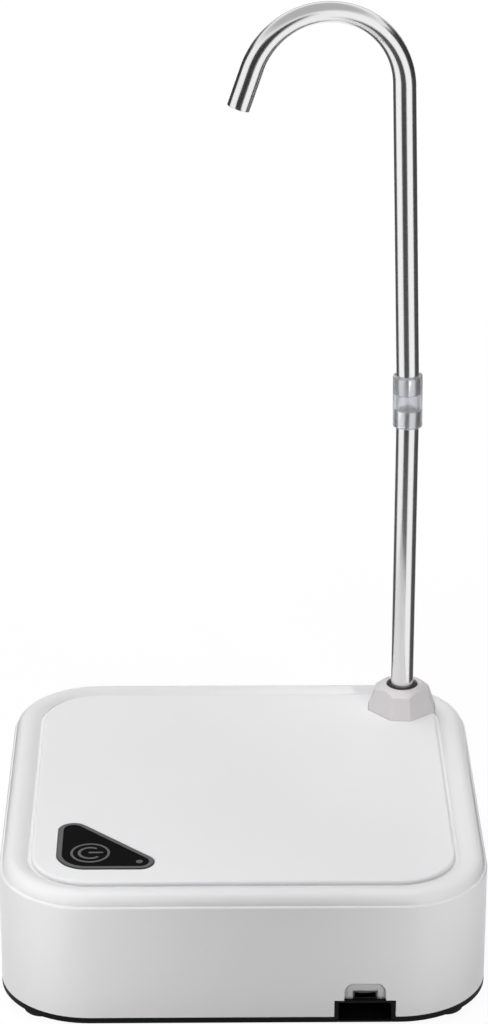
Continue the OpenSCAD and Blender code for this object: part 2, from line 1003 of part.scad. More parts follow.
module suction_hose() {
    y0 = riser_y + elbow_r + 0.2;
    color([0.85, 0.85, 0.83, 0.8])
        translate([port_x, y0, port_z])
            along_y()
                tube(hose_r, hose_in, pump_y - pump_hw - 0.2 - y0);
}

module delivery_hose() {
    y0 = pump_y + pump_hw + 0.2;
    y1 = corner_y - bend_t;
    tail = (spout_x - port_x) * sqrt(2) - bend_t - 6.4;
    color([0.85, 0.85, 0.83, 0.8]) {
        translate([port_x, y0, port_z])
            along_y()
                tube(hose_r, hose_in, y1 - y0);
        translate([port_x + bend_r, y1, port_z])
            rotate(180 - bend_a) {
                rotate_extrude(angle = bend_a)
                    translate([bend_r, 0])
                        difference() {
                            circle(r = hose_r);
                            circle(r = hose_in);
                        }
                translate([bend_r, 0, 0])
                    rotate([90, 0, 0]) {
                        tube(hose_r, hose_in, tail);
                        translate([0, 0, -weld_l])
                            tube(hose_r + weld, hose_in - weld, 2 * weld_l);
                    }
            }
        translate([port_x, y1 - weld_l, port_z])
            along_y()
                tube(hose_r + weld, hose_in - weld, 2 * weld_l);
    }
}

module hose_clips() {
    color([0.75, 0.75, 0.77]) {
        for (y = [riser_y + elbow_r + 3, pump_y - pump_hw - 6, pump_y + pump_hw + 3])
            translate([port_x, y, port_z])
                along_y()
                    tube(hose_r + 0.6, hose_r, 3);
        at_spout(port_z)
            rotate(180 + bend_a)
                translate([8, 0, 0])
                    along_x()
                        tube(hose_r + 0.6, hose_r, 3);
    }
}

module at_pump(x, z) {
    translate([x, pump_y, z])
        children();
}

// Outline of the pump's body across its shaft, t thick
module pump_block(t) {
    translate([0, -pump_hw, motor_z - pump_edge])
        cube([t, 2 * pump_hw, gear_c + 2 * pump_edge]);
}

module pump_corners() {
    for (s = [-1, 1], z = [motor_z - corner_screw_z, idler_z + corner_screw_z])
        translate([0, s * corner_screw_y, z])
            along_x()
                children();
}

module motor_bolts() {
    for (s = [-1, 1])
        translate([0, s * motor_screw_y, motor_z])
            along_x()
                children();
}

module gear_cavity(t, r) {
    for (z = [motor_z, idler_z])
        translate([0, 0, z])
            along_x()
                cylinder(r = r, h = t);
}

module pump_body() {
    color([0.16, 0.16, 0.18])
        at_pump(0, 0)
            difference() {
                union() {
                    translate([pump_x0, 0, 0])
                        pump_block(pump_x1 - pump_x0);
                    for (s = [-1, 1])
                        translate([port_x, s * pump_hw, port_z])
                            rotate([-90 * s, 0, 0])
                                translate([0, 0, -1])
                                    cylinder(r = spigot_r, h = spigot_l + 1);
                }
                translate([port_x - cavity_w / 2, 0, 0])
                    gear_cavity(cavity_w + cut, cavity_r);
                translate([port_x, -3 * pump_hw, port_z])
                    along_y()
                        cylinder(r = spigot_bore, h = 6 * pump_hw);
                translate([pump_x0 - cut, 0, motor_z])
                    along_x()
                        cylinder(r = shaft_r + 0.1, h = 2 * pump_back);
                translate([pump_x0 - cut, 0, motor_z])
                    along_x()
                        cylinder(r = 3.5, h = 2.4 + cut);
                translate([pump_x0 + 1, 0, idler_z])
                    along_x()
                        cylinder(r = pin_r, h = pump_back);
                translate([pump_x1 - 6, 0, 0])
                    pump_corners()
                        cylinder(r = 1, h = 6 + cut);
                translate([pump_x0 - cut, 0, 0])
                    motor_bolts()
                        cylinder(r = motor_screw_r + 0.1, h = 20);
            }
}

module pump_gasket() {
    color([0.5, 0.15, 0.1])
        at_pump(pump_x1, 0)
            difference() {
                pump_block(gasket_t);
                translate([-cut, 0, 0]) {
                    gear_cavity(gasket_t + 2 * cut, cavity_r);
                    pump_corners()
                        cylinder(r = 1.2, h = gasket_t + 2 * cut);
                    motor_bolts()
                        cylinder(r = motor_screw_r + 0.1, h = gasket_t + 2 * cut);
                }
            }
}

module pump_cover() {
    color([0.2, 0.2, 0.22])
        at_pump(pcover_x, 0)
            difference() {
                pump_block(pcover_t);
                translate([-cut, 0, 0]) {
                    pump_corners()
                        cylinder(r = 1.2, h = pcover_t + 2 * cut);
                    motor_bolts()
                        cylinder(r = motor_screw_r + 0.1, h = pcover_t + 2 * cut);
                    translate([0, 0, idler_z])
                        along_x()
                            cylinder(r = pin_r, h = 2 + cut);
                }
            }
}

module pump_screws() {
    color([0.75, 0.75, 0.77])
        at_pump(pcover_x + pcover_t, 0)
            pump_corners()
                rotate([180, 0, 0])
                    screw(pcover_t + gasket_t + 5, 1, 1.9, 1.3);
}

module motor_screws() {
    color([0.75, 0.75, 0.77])
        at_pump(pcover_x + pcover_t, 0)
            motor_bolts()
                rotate([180, 0, 0])
                    screw(pcover_x + pcover_t - pump_x0 + 2.6, motor_screw_r, 1.9, 1.3);
}

module shaft_seal() {
    color([0.1, 0.1, 0.1])
        at_pump(pump_x0 + 0.1, motor_z)
            along_x()
                tube(3.45, shaft_r + run_gap, 2.2);
}

// Involute angle of radius r, in degrees
function inv(r) = let (a = acos(gear_base_r / r)) tan(a) * 180 / PI - a;

function tooth_half(r) =
    (PI * gear_m / 2 - tooth_gap) / 2 / gear_pitch_r * 180 / PI + inv(gear_pitch_r) - inv(max(r, gear_base_r));

function flank() = [gear_root_r, for (k = [0:5]) gear_base_r + (gear_tip_r - gear_base_r) * k / 5];

function tooth(i) = [
    for (r = flank()) let (a = 360 / gear_n * i - tooth_half(r)) [r * cos(a), r * sin(a)],
    for (k = [6:-1:0]) let (r = flank()[k], a = 360 / gear_n * i + tooth_half(r)) [r * cos(a), r * sin(a)]
];

module gear(bore) {
    linear_extrude(gear_w)
        difference() {
            polygon([for (i = [0:gear_n - 1]) each tooth(i)]);
            circle(r = bore);
        }
}

module drive_gear() {
    color([0.92, 0.9, 0.84])
        at_pump(port_x - gear_w / 2, motor_z)
            along_x()
                gear(shaft_r);
}

module idler_gear() {
    color([0.92, 0.9, 0.84])
        at_pump(port_x - gear_w / 2, idler_z)
            along_x()
                rotate(180 / gear_n)
                    gear(pin_r + run_gap);
}

module idler_pin() {
    color([0.75, 0.75, 0.77])
        at_pump(pump_x0 + 1, idler_z)
            along_x()
                cylinder(r = pin_r, h = pcover_x + 2 - pump_x0 - 1);
}

module at_motor(x) {
    translate([motor_x0 + x, pump_y, motor_z])
        along_x()
            children();
}

module motor_can() {
    color([0.72, 0.73, 0.75])
        difference() {
            at_motor(0)
                cylinder(r = motor_r, h = motor_l);
            at_motor(-cut)
                cylinder(r = motor_r - can_t, h = motor_l - can_t + cut);
            at_motor(0)
                cylinder(r = bush_r, h = motor_l + cut);
            at_pump(pump_x0 - 2, 0)
                motor_bolts()
                    cylinder(r = motor_screw_r, h = 4);
        }
}

module motor_end_cap() {
    color([0.92, 0.92, 0.9])
        difference() {
            union() {
                at_motor(-cap_t)
                    cylinder(r = motor_r, h = cap_t);
                at_motor(-0.5)
                    cylinder(r = motor_r - can_t - 0.05, h = 3);
            }
            at_motor(-cap_t - cut)
                cylinder(r = bush_r, h = 10);
            for (s = [-1, 1])
                translate([motor_x0 - 5, pump_y + s * 7 - 0.3, motor_z - 1.6])
                    cube([20, 0.6, 3.2]);
        }
}

module motor_magnets() {
    color([0.25, 0.24, 0.24])
        at_motor(8.5)
            for (a = [0, 180])
                rotate(a - 60)
                    rotate_extrude(angle = 120)
                        translate([9.3, 0])
                            square([motor_r - can_t - 9.35, motor_l - 12]);
}

module motor_bushes() {
    color([0.7, 0.55, 0.3]) {
        at_motor(-cap_t)
            tube(bush_r, shaft_r + run_gap, 4);
        at_motor(motor_l - 2.5)
            tube(bush_r, shaft_r + run_gap, 2.5);
    }
}

module motor_brushes() {
    color([0.75, 0.5, 0.3])
        for (s = [-1, 1])
            translate([motor_x0, pump_y, motor_z]) {
                translate([-5.5, s * 7 - 0.25, -1.5])
                    cube([12.5, 0.5, 3]);
                translate([4.5, s > 0 ? 3.3 : -7.2, -1.2])
                    cube([2.5, 3.9, 2.4]);
            }
}

module motor_shaft() {
    color([0.82, 0.82, 0.84]) {
        at_motor(-cap_t - 1)
            cylinder(r = shaft_r, h = motor_l + cap_t + 1 + pump_back + 0.1 + gear_w);
    }
}

// Laminated core with five wound slots, and its commutator at the brushes
module core_slots(grow) {
    for (i = [0:4])
        rotate(72 * i)
            translate([4, -1.9 - grow])
                square([3.7 + grow, 3.8 + 2 * grow]);
}

module motor_core() {
    color([0.5, 0.5, 0.52]) {
        at_motor(10.5)
            linear_extrude(motor_l - 16)
                difference() {
                    circle(r = 8.9);
                    circle(r = shaft_r);
                    core_slots(0);
                    for (i = [0:4])
                        rotate(72 * i)
                            translate([7, -0.6])
                                square([3, 1.2]);
                }
        at_motor(4)
            tube(3.2, shaft_r, 5);
    }
}

module motor_winding() {
    color([0.72, 0.38, 0.16])
        at_motor(9)
            difference() {
                union() {
                    cylinder(r = 7.4, h = 1.5);
                    linear_extrude(motor_l - 13)
                        core_slots(-0.05);
                    translate([0, 0, motor_l - 14.5])
                        cylinder(r = 7.4, h = 1.5);
                }
                translate([0, 0, -cut])
                    cylinder(r = 3.3, h = motor_l);
            }
}

module motor_clamp() {
    color([0.12, 0.12, 0.13])
        translate([clamp_x, pump_y, motor_z])
            clamp(motor_r);
}

module battery_cell() {
    color([0.15, 0.4, 0.7])
        translate([cell_x, cell_y - cell_l / 2, cell_z])
            along_y() {
                cylinder(r = cell_r, h = cell_l - cell_nose);
                cylinder(r = cell_r * 0.55, h = cell_l);
            }
}

module battery_tabs() {
    color([0.8, 0.8, 0.78])
        for (y = [cell_y - cell_l / 2 - tab_strip, cell_y + cell_l / 2])
            translate([cell_x - strip_w / 2, y, cell_z - strip_drop])
                cube([strip_w, tab_strip, strip_h]);
}

module battery_clamp() {
    color([0.12, 0.12, 0.13])
        translate([cell_x, cell_y, cell_z])
            rotate(90)
                clamp(cell_r);
}

module clamp_screws() {
    d = clamp_t + clamp_l / 2 + 1.2;
    color([0.7, 0.7, 0.72])
        for (s = [-1, 1]) {
            translate([clamp_x, pump_y + s * (motor_r + d), motor_z + clamp_t])
                rotate([180, 0, 0])
                    screw(clamp_t + 6, screw_r, head_r, head_h);
            translate([cell_x + s * (cell_r + d), cell_y, cell_z + clamp_t])
                rotate([180, 0, 0])
                    screw(clamp_t + 6, screw_r, head_r, head_h);
        }
}

module main_board() {
    color([0.1, 0.38, 0.2])
        difference() {
            translate([board_x0, board_y0, board_z])
                cube([board_l, board_w, board_t]);
            for (p = bscrew)
                translate([p[0], p[1], board_z - cut])
                    cylinder(r = 1.2, h = board_t + 2 * cut);
        }
}

module usb_socket() {
    color([0.78, 0.78, 0.8])
        translate([port_x, -half + recess_d, usb_z]) {
            difference() {
                translate([-usb_w / 2, 0, 0])
                    cube([usb_w, usb_l, usb_h]);
                translate([-usb_w / 2 + 0.4, -cut, 0.4])
                    cube([usb_w - 0.8, usb_l - 0.4 + cut, usb_h - 0.8]);
            }
            translate([-2, 1, 1.5])
                cube([4, usb_l - 1.2, 0.6]);
        }
}

module board_parts() {
    color([0.1, 0.1, 0.11])
        translate([port_x, board_y0, board_top]) {
            translate([-11, 8, 0])
                cube([5, 4, 1.5]);
            translate([-20, 6, 0])
                cube([6, 5, 1.6]);
            translate([-15, 14, 0])
                cube([6, 5, 2]);
            translate([0, 7, 0])
                cube([6, 6, 3.4]);
            translate([-3, 17, 0])
                cylinder(r = 2.6, h = 7);
        }
}

module lead_plugs() {
    color([0.93, 0.92, 0.88])
        for (p = [plug_batt, plug_motor, plug_key])
            translate([p[0] - plug[0] / 2, p[1] - plug[1] / 2, board_top])
                cube(plug);
}

module board_screws() {
    color([0.7, 0.7, 0.72])
        for (p = bscrew)
            translate([p[0], p[1], board_top])
                rotate([180, 0, 0])
                    screw(board_t + 2.4, 1, 1.9, 1.2);
}

// Smooth path through points, then a round wire along it
function path(p) = [
    for (i = [0:len(p) - 2], k = [0:4])
        let (
            t = k / 5,
            a = p[max(i - 1, 0)],
            b = p[i],
            c = p[i + 1],
            d = p[min(i + 2, len(p) - 1)]
        )
            (2 * b + t * (c - a) + t * t * (2 * a - 5 * b + 4 * c - d) + t * t * t * (3 * b - a - 3 * c + d)) / 2,
    p[len(p) - 1]
];

function unit(v) = v / norm(v);

module wire(points) {
    p = path(points);
    n = len(p);
    s = 8;
    side = [0.31, 0.52, 0.79];
    ring = [for (i = [0:n - 1])
        let (
            t = unit(p[min(i + 1, n - 1)] - p[max(i - 1, 0)]),
            u = unit(cross(t, side)),
            v = cross(t, u)
        )
            for (k = [0:s - 1]) p[i] + wire_r * (cos(360 / s * k) * u + sin(360 / s * k) * v)];
    polyhedron(ring, concat(
        [[for (k = [0:s - 1]) k]],
        [for (i = [0:n - 2], k = [0:s - 1])
            each [[i * s + k, (i + 1) * s + k, i * s + (k + 1) % s],
                [i * s + (k + 1) % s, (i + 1) * s + k, (i + 1) * s + (k + 1) % s]]],
        [[for (k = [s - 1:-1:0]) (n - 1) * s + k]]
    ));
}

module battery_leads() {
    y0 = cell_y - cell_l / 2 - tab_strip - wire_r;
    y1 = cell_y + cell_l / 2 + tab_strip + wire_r;
    lane = cell_x + lane_in;
    py = plug_batt[1] + plug[1] / 2;
    color([0.1, 0.1, 0.1])
        wire([[cell_x, y0, cell_z], [cell_x + 8, y0 - 4, cell_z], [lane - 3, y0 - 14, floor_z + 4],
            [lane + 8, py + 14, floor_z + 6], [plug_batt[0] - wire_pitch / 2, py + 6, wire_z],
            [plug_batt[0] - wire_pitch / 2, py, wire_z]]);
    color([0.75, 0.1, 0.08])
        wire([[cell_x, y1, cell_z], [cell_x + 9, y1 + 2, cell_z], [lane, y1 - 10, floor_z + 4],
            [lane, cell_y, floor_z + 1], [lane + 2, y0 - 6, floor_z + 3], [lane + 14, py + 16, floor_z + 6],
            [plug_batt[0] + wire_pitch / 2, py + 7, wire_z], [plug_batt[0] + wire_pitch / 2, py, wire_z]]);
}

module motor_leads() {
    x0 = motor_x0 - 5.5;
    py = plug_motor[1] + plug[1] / 2;
    for (s = [-1, 1])
        color(s > 0 ? [0.75, 0.1, 0.08] : [0.1, 0.1, 0.1])
            wire([[x0, pump_y + s * 7, motor_z], [x0 - 5 - s * 2, pump_y + s * 6, motor_z - 1],
                [x0 - 5 - s * 2, pump_y - 12, floor_z + 4], [x0 + 3 - s * 2, py + 16, floor_z + 5],
                [plug_motor[0] - s * wire_pitch / 2, py + 6, wire_z],
                [plug_motor[0] - s * wire_pitch / 2, py, wire_z]]);
}

module button_leads() {
    px = plug_key[0] - plug[0] / 2;
    for (s = [-1, 1]) {
        d = s * wire_pitch / 2;
        color(s > 0 ? [0.9, 0.9, 0.9] : [0.15, 0.15, 0.15])
            wire([[tri_o + 20 + d, tri_o + 10, bboard_z], [tri_o + 20 + d, tri_o + 9, bboard_z - 6],
                [tri_o + 27 + d, plug_key[1] + 5 + d, wire_z + 6], [px - 12, plug_key[1] + d, wire_z],
                [px, plug_key[1] + d, wire_z]]);
    }
}

base_plate();
housing();
top_cover();
tray_panel();
rubber_feet();
base_screws();
cover_screws();
button_bezel();
button_fascia();
power_button();
led_lens();
button_board();
tact_switch();
switch_plunger();
status_led();
button_screws();
spout_collar();
collar_nut();
collar_seal();
spout_elbow();
elbow_o_ring();
lower_tube();
joint_sleeve();
hook_tube();
hose_keeper();
inlet_fitting();
inlet_elbow();
suction_hose();
delivery_hose();
hose_clips();
pump_body();
pump_gasket();
pump_cover();
pump_screws();
motor_screws();
shaft_seal();
drive_gear();
idler_gear();
idler_pin();
motor_can();
motor_end_cap();
motor_magnets();
motor_bushes();
motor_brushes();
motor_shaft();
motor_core();
motor_winding();
motor_clamp();
battery_cell();
battery_tabs();
battery_clamp();
clamp_screws();
main_board();
usb_socket();
board_parts();
lead_plugs();
board_screws();
battery_leads();
motor_leads();
button_leads();
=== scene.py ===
# %% [markdown]
# # A water jug pump with a hooked spout
# The object is a small electric pump: a square white base with a tray on top, a black key in one
# corner and a steel spout that hooks over the tray. The CAD model already has every piece at its
# real size and place, so this lesson loads it as a fixed frame and adds only what CAD doesn't
# give: finishes, a few finely rounded pieces, the studio and the camera.

import json
import math

import bmesh
import bpy
from mathutils import Matrix, Vector


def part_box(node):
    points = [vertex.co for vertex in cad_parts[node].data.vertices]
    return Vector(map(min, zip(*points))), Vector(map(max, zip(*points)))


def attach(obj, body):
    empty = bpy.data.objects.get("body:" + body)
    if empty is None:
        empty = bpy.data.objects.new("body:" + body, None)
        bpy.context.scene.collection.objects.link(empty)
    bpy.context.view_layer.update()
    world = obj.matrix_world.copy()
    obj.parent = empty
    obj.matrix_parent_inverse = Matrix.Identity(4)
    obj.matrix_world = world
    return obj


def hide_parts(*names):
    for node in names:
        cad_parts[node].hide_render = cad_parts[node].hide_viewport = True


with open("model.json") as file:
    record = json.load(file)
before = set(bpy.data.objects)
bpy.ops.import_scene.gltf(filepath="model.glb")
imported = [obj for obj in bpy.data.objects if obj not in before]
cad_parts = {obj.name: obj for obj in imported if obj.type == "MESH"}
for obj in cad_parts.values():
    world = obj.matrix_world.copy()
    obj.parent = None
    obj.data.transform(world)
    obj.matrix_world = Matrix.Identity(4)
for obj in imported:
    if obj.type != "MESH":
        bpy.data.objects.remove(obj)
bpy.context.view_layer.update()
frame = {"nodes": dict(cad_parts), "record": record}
nodes = frame["nodes"]
MM = 0.001

# %% [markdown]
# ## The camera
# The picture was taken from above the front edge with a long lens. A camera can be placed by eye,
# but here its place, tilt and lens were worked out from the base's outline and known width, so
# the matrix is built from the three directions the camera looks along.

# %% Camera
LENS, NEAREST = 117.9, 0.02
CAMERA_PLACE = Vector((-0.01125, -1.02112, 0.57335))
TILT, TURN, ROLL = (math.radians(a) for a in (22.58, 0.67, 0.072))


def camera_matrix(place, tilt, turn, roll):
    level = math.cos(tilt)
    ahead = Vector((math.sin(turn) * level, math.cos(turn) * level, -math.sin(tilt)))
    right = Vector((math.cos(turn), -math.sin(turn), 0))
    up = right.cross(ahead)
    right, up = (
        math.cos(roll) * right + math.sin(roll) * up,
        math.cos(roll) * up - math.sin(roll) * right,
    )
    axes = Matrix((right, up, -ahead)).transposed().to_4x4()
    return Matrix.Translation(place) @ axes


lens = bpy.data.cameras.new("camera")
lens.lens = LENS
lens.clip_start = NEAREST
camera = bpy.data.objects.new("camera", lens)
camera.matrix_world = camera_matrix(CAMERA_PLACE, TILT, TURN, ROLL)
bpy.context.scene.collection.objects.link(camera)
bpy.context.scene.camera = camera
bpy.context.scene.view_settings.view_transform = "Standard"
print("camera", round(CAMERA_PLACE.length, 3), "m from the middle of the base")

# %% [markdown]
# ## Small tools for node trees
# Every finish is a tree of shader nodes. Building them by hand takes many lines, so a few helpers
# do the repeated work: `put` adds a node and fills its inputs with numbers or links, `group`
# starts a node group with named inputs and outputs, and `around` and `shade` let a noise field
# move a value or a colour up and down.

# %% Node helpers
SOCKETS = {"colour": "NodeSocketColor", "value": "NodeSocketFloat"}


def put(tree, kind, inputs=None, **settings):
    node = tree.nodes.new("ShaderNode" + kind)
    for name, value in settings.items():
        setattr(node, name, value)
    for name, value in (inputs or {}).items():
        if isinstance(value, bpy.types.NodeSocket):
            tree.links.new(value, node.inputs[name])
        else:
            node.inputs[name].default_value = value
    return node


def group(name, inputs, outputs):
    tree = bpy.data.node_groups.new(name, "ShaderNodeTree")
    for title, (kind, value) in inputs.items():
        socket = tree.interface.new_socket(title, in_out="INPUT", socket_type=SOCKETS[kind])
        socket.default_value = value
    for title, kind in outputs.items():
        tree.interface.new_socket(title, in_out="OUTPUT", socket_type=SOCKETS[kind])
    inn, out = tree.nodes.new("NodeGroupInput"), tree.nodes.new("NodeGroupOutput")
    return tree, inn.outputs, out.inputs


def maths(tree, operation, a, b=0.0):
    return put(tree, "Math", {0: a, 1: b}, operation=operation).outputs[0]


def noise(tree, place, scale, detail=2.0):
    return put(tree, "TexNoise", {"Vector": place, "Scale": scale, "Detail": detail}).outputs["Fac"]


def around(tree, middle, field, spread):
    """middle, moved up and down by a noise field that runs from 0 to 1."""
    swing = maths(tree, "MULTIPLY", maths(tree, "SUBTRACT", field, 0.5), spread)
    return maths(tree, "ADD", middle, swing)


def shade(tree, colour, field, spread):
    """colour, made a little lighter and darker by a noise field."""
    factor = around(tree, 1.0, field, spread)
    return put(tree, "VectorMath", {0: colour, "Scale": factor}, operation="SCALE").outputs[0]


print("helpers ready for", len(SOCKETS), "kinds of socket")

# %% [markdown]
# ## Shared effects
# Moulded plastic is never one flat colour: the mould leaves a fine grain, the gloss drifts where
# the plastic cooled, and the colour drifts a little with it. Metal has streaks from drawing or a
# grain from plating. Each of these is one node group, so that many finishes can share it and
# only change its numbers.

# %% Group: moulded skin
skin, inn, out = group(
    "moulded skin",
    {
        "Colour": ("colour", (0.8, 0.8, 0.8, 1)),
        "Drift": ("value", 0.03),
        "Roughness": ("value", 0.35),
        "Gloss drift": ("value", 0.1),
        "Grain": ("value", 2500.0),
    },
    {"Colour": "colour", "Roughness": "value", "Height": "value"},
)
COLOUR_PATCHES, GLOSS_PATCHES = 22.0, 60.0
place = put(skin, "TexCoord").outputs["Object"]
tint = shade(skin, inn["Colour"], noise(skin, place, COLOUR_PATCHES, 3), inn["Drift"])
gloss = around(skin, inn["Roughness"], noise(skin, place, GLOSS_PATCHES, 4), inn["Gloss drift"])
skin.links.new(tint, out["Colour"])
skin.links.new(gloss, out["Roughness"])
skin.links.new(noise(skin, place, inn["Grain"], 2), out["Height"])
print(skin.name, "has", len(skin.nodes), "nodes")

# %% Group: drawn streaks, which follow a tube by its UV map
streaks, inn, out = group(
    "drawn streaks",
    {
        "Colour": ("colour", (0.7, 0.7, 0.72, 1)),
        "Drift": ("value", 0.08),
        "Roughness": ("value", 0.2),
        "Gloss drift": ("value", 0.1),
    },
    {"Colour": "colour", "Roughness": "value", "Height": "value"},
)
FINE_STREAKS, WIDE_STREAKS = (160, 3, 1), (14, 40, 1)
flat = put(streaks, "UVMap").outputs["UV"]
long_way = put(streaks, "Mapping", {"Vector": flat, "Scale": FINE_STREAKS}).outputs["Vector"]
wide_way = put(streaks, "Mapping", {"Vector": flat, "Scale": WIDE_STREAKS}).outputs["Vector"]
fine = noise(streaks, long_way, 1.0, 3)
gloss = around(streaks, inn["Roughness"], noise(streaks, wide_way, 1.0, 3), inn["Gloss drift"])
streaks.links.new(shade(streaks, inn["Colour"], fine, inn["Drift"]), out["Colour"])
streaks.links.new(gloss, out["Roughness"])
streaks.links.new(fine, out["Height"])
print(streaks.name, "has", len(streaks.nodes), "nodes")

# %% Group: plated grain
plating, inn, out = group(
    "plated grain",
    {
        "Colour": ("colour", (0.6, 0.6, 0.62, 1)),
        "Drift": ("value", 0.15),
        "Roughness": ("value", 0.3),
        "Gloss drift": ("value", 0.2),
    },
    {"Colour": "colour", "Roughness": "value", "Height": "value"},
)
place = put(plating, "TexCoord").outputs["Object"]
PLATE_GRAIN, PLATE_PATCHES = 1800.0, 220.0
fine = noise(plating, place, PLATE_GRAIN, 3)
tint = shade(plating, inn["Colour"], noise(plating, place, PLATE_PATCHES, 4), inn["Drift"])
plating.links.new(tint, out["Colour"])
plating.links.new(around(plating, inn["Roughness"], fine, inn["Gloss drift"]), out["Roughness"])
plating.links.new(fine, out["Height"])
print(plating.name, "has", len(plating.nodes), "nodes")

# %% Group: settled dust, which shows on dark pieces where they face up
dust, inn, out = group(
    "settled dust",
    {
        "Colour": ("colour", (0.02, 0.02, 0.02, 1)),
        "Roughness": ("value", 0.4),
        "Amount": ("value", 0.1),
    },
    {"Colour": "colour", "Roughness": "value"},
)
facing = put(dust, "SeparateXYZ", {0: put(dust, "NewGeometry").outputs["Normal"]}).outputs["Z"]
place = put(dust, "TexCoord").outputs["Object"]
SPECKS, SPECK_LEVEL, ON_SIDES, DUST_GREY = 900.0, 0.62, 0.15, (0.5, 0.49, 0.47, 1)
specks = maths(dust, "GREATER_THAN", noise(dust, place, SPECKS, 3), SPECK_LEVEL)
settled = maths(dust, "MAXIMUM", facing, ON_SIDES)
cover = maths(dust, "MULTIPLY", settled, maths(dust, "MULTIPLY", specks, inn["Amount"]))
pale = put(dust, "Mix", {0: cover, 6: inn["Colour"], 7: DUST_GREY}, data_type="RGBA")
dust.links.new(pale.outputs[2], out["Colour"])
dust.links.new(maths(dust, "ADD", inn["Roughness"], cover), out["Roughness"])
print(dust.name, "has", len(dust.nodes), "nodes")

# %% Group: circuit tracks, copper lines under green lacquer
tracks, inn, out = group(
    "circuit tracks",
    {
        "Lacquer": ("colour", (0.03, 0.2, 0.08, 1)),
        "Copper": ("colour", (0.08, 0.32, 0.12, 1)),
        "Size": ("value", 260.0),
    },
    {"Colour": "colour", "Height": "value"},
)
place = put(tracks, "TexCoord").outputs["Object"]
BLACK, WHITE = (0, 0, 0, 1), (1, 1, 1, 1)
TRACK_W, TRACK_AREAS, AREA_LEVEL = 0.12, 90.0, 0.48
colours = {"Color1": BLACK, "Color2": BLACK, "Mortar": WHITE}
sizes = {"Vector": place, "Scale": inn["Size"], "Mortar Size": TRACK_W}
lines = put(tracks, "TexBrick", {**sizes, **colours})
areas = maths(tracks, "GREATER_THAN", noise(tracks, place, TRACK_AREAS, 1), AREA_LEVEL)
mask = maths(tracks, "MULTIPLY", lines.outputs["Fac"], areas)
tinted = put(tracks, "Mix", {0: mask, 6: inn["Lacquer"], 7: inn["Copper"]}, data_type="RGBA")
tracks.links.new(tinted.outputs[2], out["Colour"])
tracks.links.new(mask, out["Height"])
print(tracks.name, "has", len(tracks.nodes), "nodes")

# %% [markdown]
# ## Finishes
# A finish is one Principled shader with a group in front of it. Numbers that are the same all
# over the surface, such as how much a coat shines, go straight on the shader; only what changes
# over the surface comes from the group. Bump turns the group's height into tiny slopes.

# %% The makers of finishes
finishes = {}


def finish(name, effect, values, metal=0.0, bump=0.02, bump_size=0.05, dusty=0.0, **plain):
    """A material whose colour, gloss and fine relief come from a shared effect."""
    material = bpy.data.materials.new(name)
    material.use_nodes = True
    tree = material.node_tree
    shader = tree.nodes["Principled BSDF"]
    shader.inputs["Metallic"].default_value = metal
    for title, value in plain.items():
        shader.inputs[title.replace("_", " ")].default_value = value
    made = put(tree, "Group", node_tree=effect)
    for title, value in values.items():
        made.inputs[title].default_value = (*value, 1) if isinstance(value, tuple) else value
    colour, gloss = made.outputs["Colour"], made.outputs.get("Roughness")
    if dusty and gloss:
        film = put(tree, "Group", node_tree=dust)
        tree.links.new(colour, film.inputs["Colour"])
        tree.links.new(gloss, film.inputs["Roughness"])
        film.inputs["Amount"].default_value = dusty
        colour, gloss = film.outputs["Colour"], film.outputs["Roughness"]
    tree.links.new(colour, shader.inputs["Base Color"])
    if gloss:
        tree.links.new(gloss, shader.inputs["Roughness"])
    depth = {"Strength": bump, "Distance": bump_size * MM}
    relief = put(tree, "Bump", {**depth, "Height": made.outputs["Height"]})
    tree.links.new(relief.outputs["Normal"], shader.inputs["Normal"])
    finishes[name] = material
    return material


def plastic(name, colour, roughness, grain=2500.0, drift=0.03, gloss_drift=0.1, **more):
    values = {"Colour": colour, "Drift": drift, "Grain": grain}
    values.update({"Roughness": roughness, "Gloss drift": gloss_drift})
    return finish(name, skin, values, **more)


def metal(name, colour, roughness, effect=plating, drift=0.1, gloss_drift=0.15, **more):
    values = {"Colour": colour, "Drift": drift, "Roughness": roughness, "Gloss drift": gloss_drift}
    return finish(name, effect, values, metal=1.0, **more)


print("finish makers ready")

# %% Plastics and rubbers that show
plastic("white_shell", (0.83, 0.825, 0.83), 0.3, bump=0.03)
plastic("tray", (0.85, 0.85, 0.86), 0.34, bump=0.04, bump_size=0.03)
plastic("collar", (0.71, 0.685, 0.695), 0.38, bump=0.03)
plastic(
    "black_base", (0.0035, 0.0035, 0.0037), 0.6,
    grain=1400.0, bump=0.12, dusty=0.008, Specular_IOR_Level=0.12,
)
plastic(
    "foot_rubber", (0.005, 0.005, 0.005), 0.75,
    grain=1800.0, bump=0.2, dusty=0.02, Specular_IOR_Level=0.25,
)
plastic(
    "fascia_black", (0.0026, 0.0025, 0.0027), 0.46,
    drift=0.1, bump=0.01, dusty=0.004, Specular_IOR_Level=0.015,
)
plastic("bezel_grey", (0.09, 0.088, 0.091), 0.42, bump=0.05, Specular_IOR_Level=0.3)
plastic("print_grey", (0.11, 0.11, 0.113), 0.6, bump=0.02)
# Painted shade: this grey is for the band that darkens the recess round the USB socket.
plastic("recess_shade_grey", (0.6, 0.595, 0.6), 0.55, bump=0.05)
plastic("seal_rubber", (0.03, 0.03, 0.032), 0.7, grain=1600.0, bump=0.15)
print("plastics:", ", ".join(finishes))

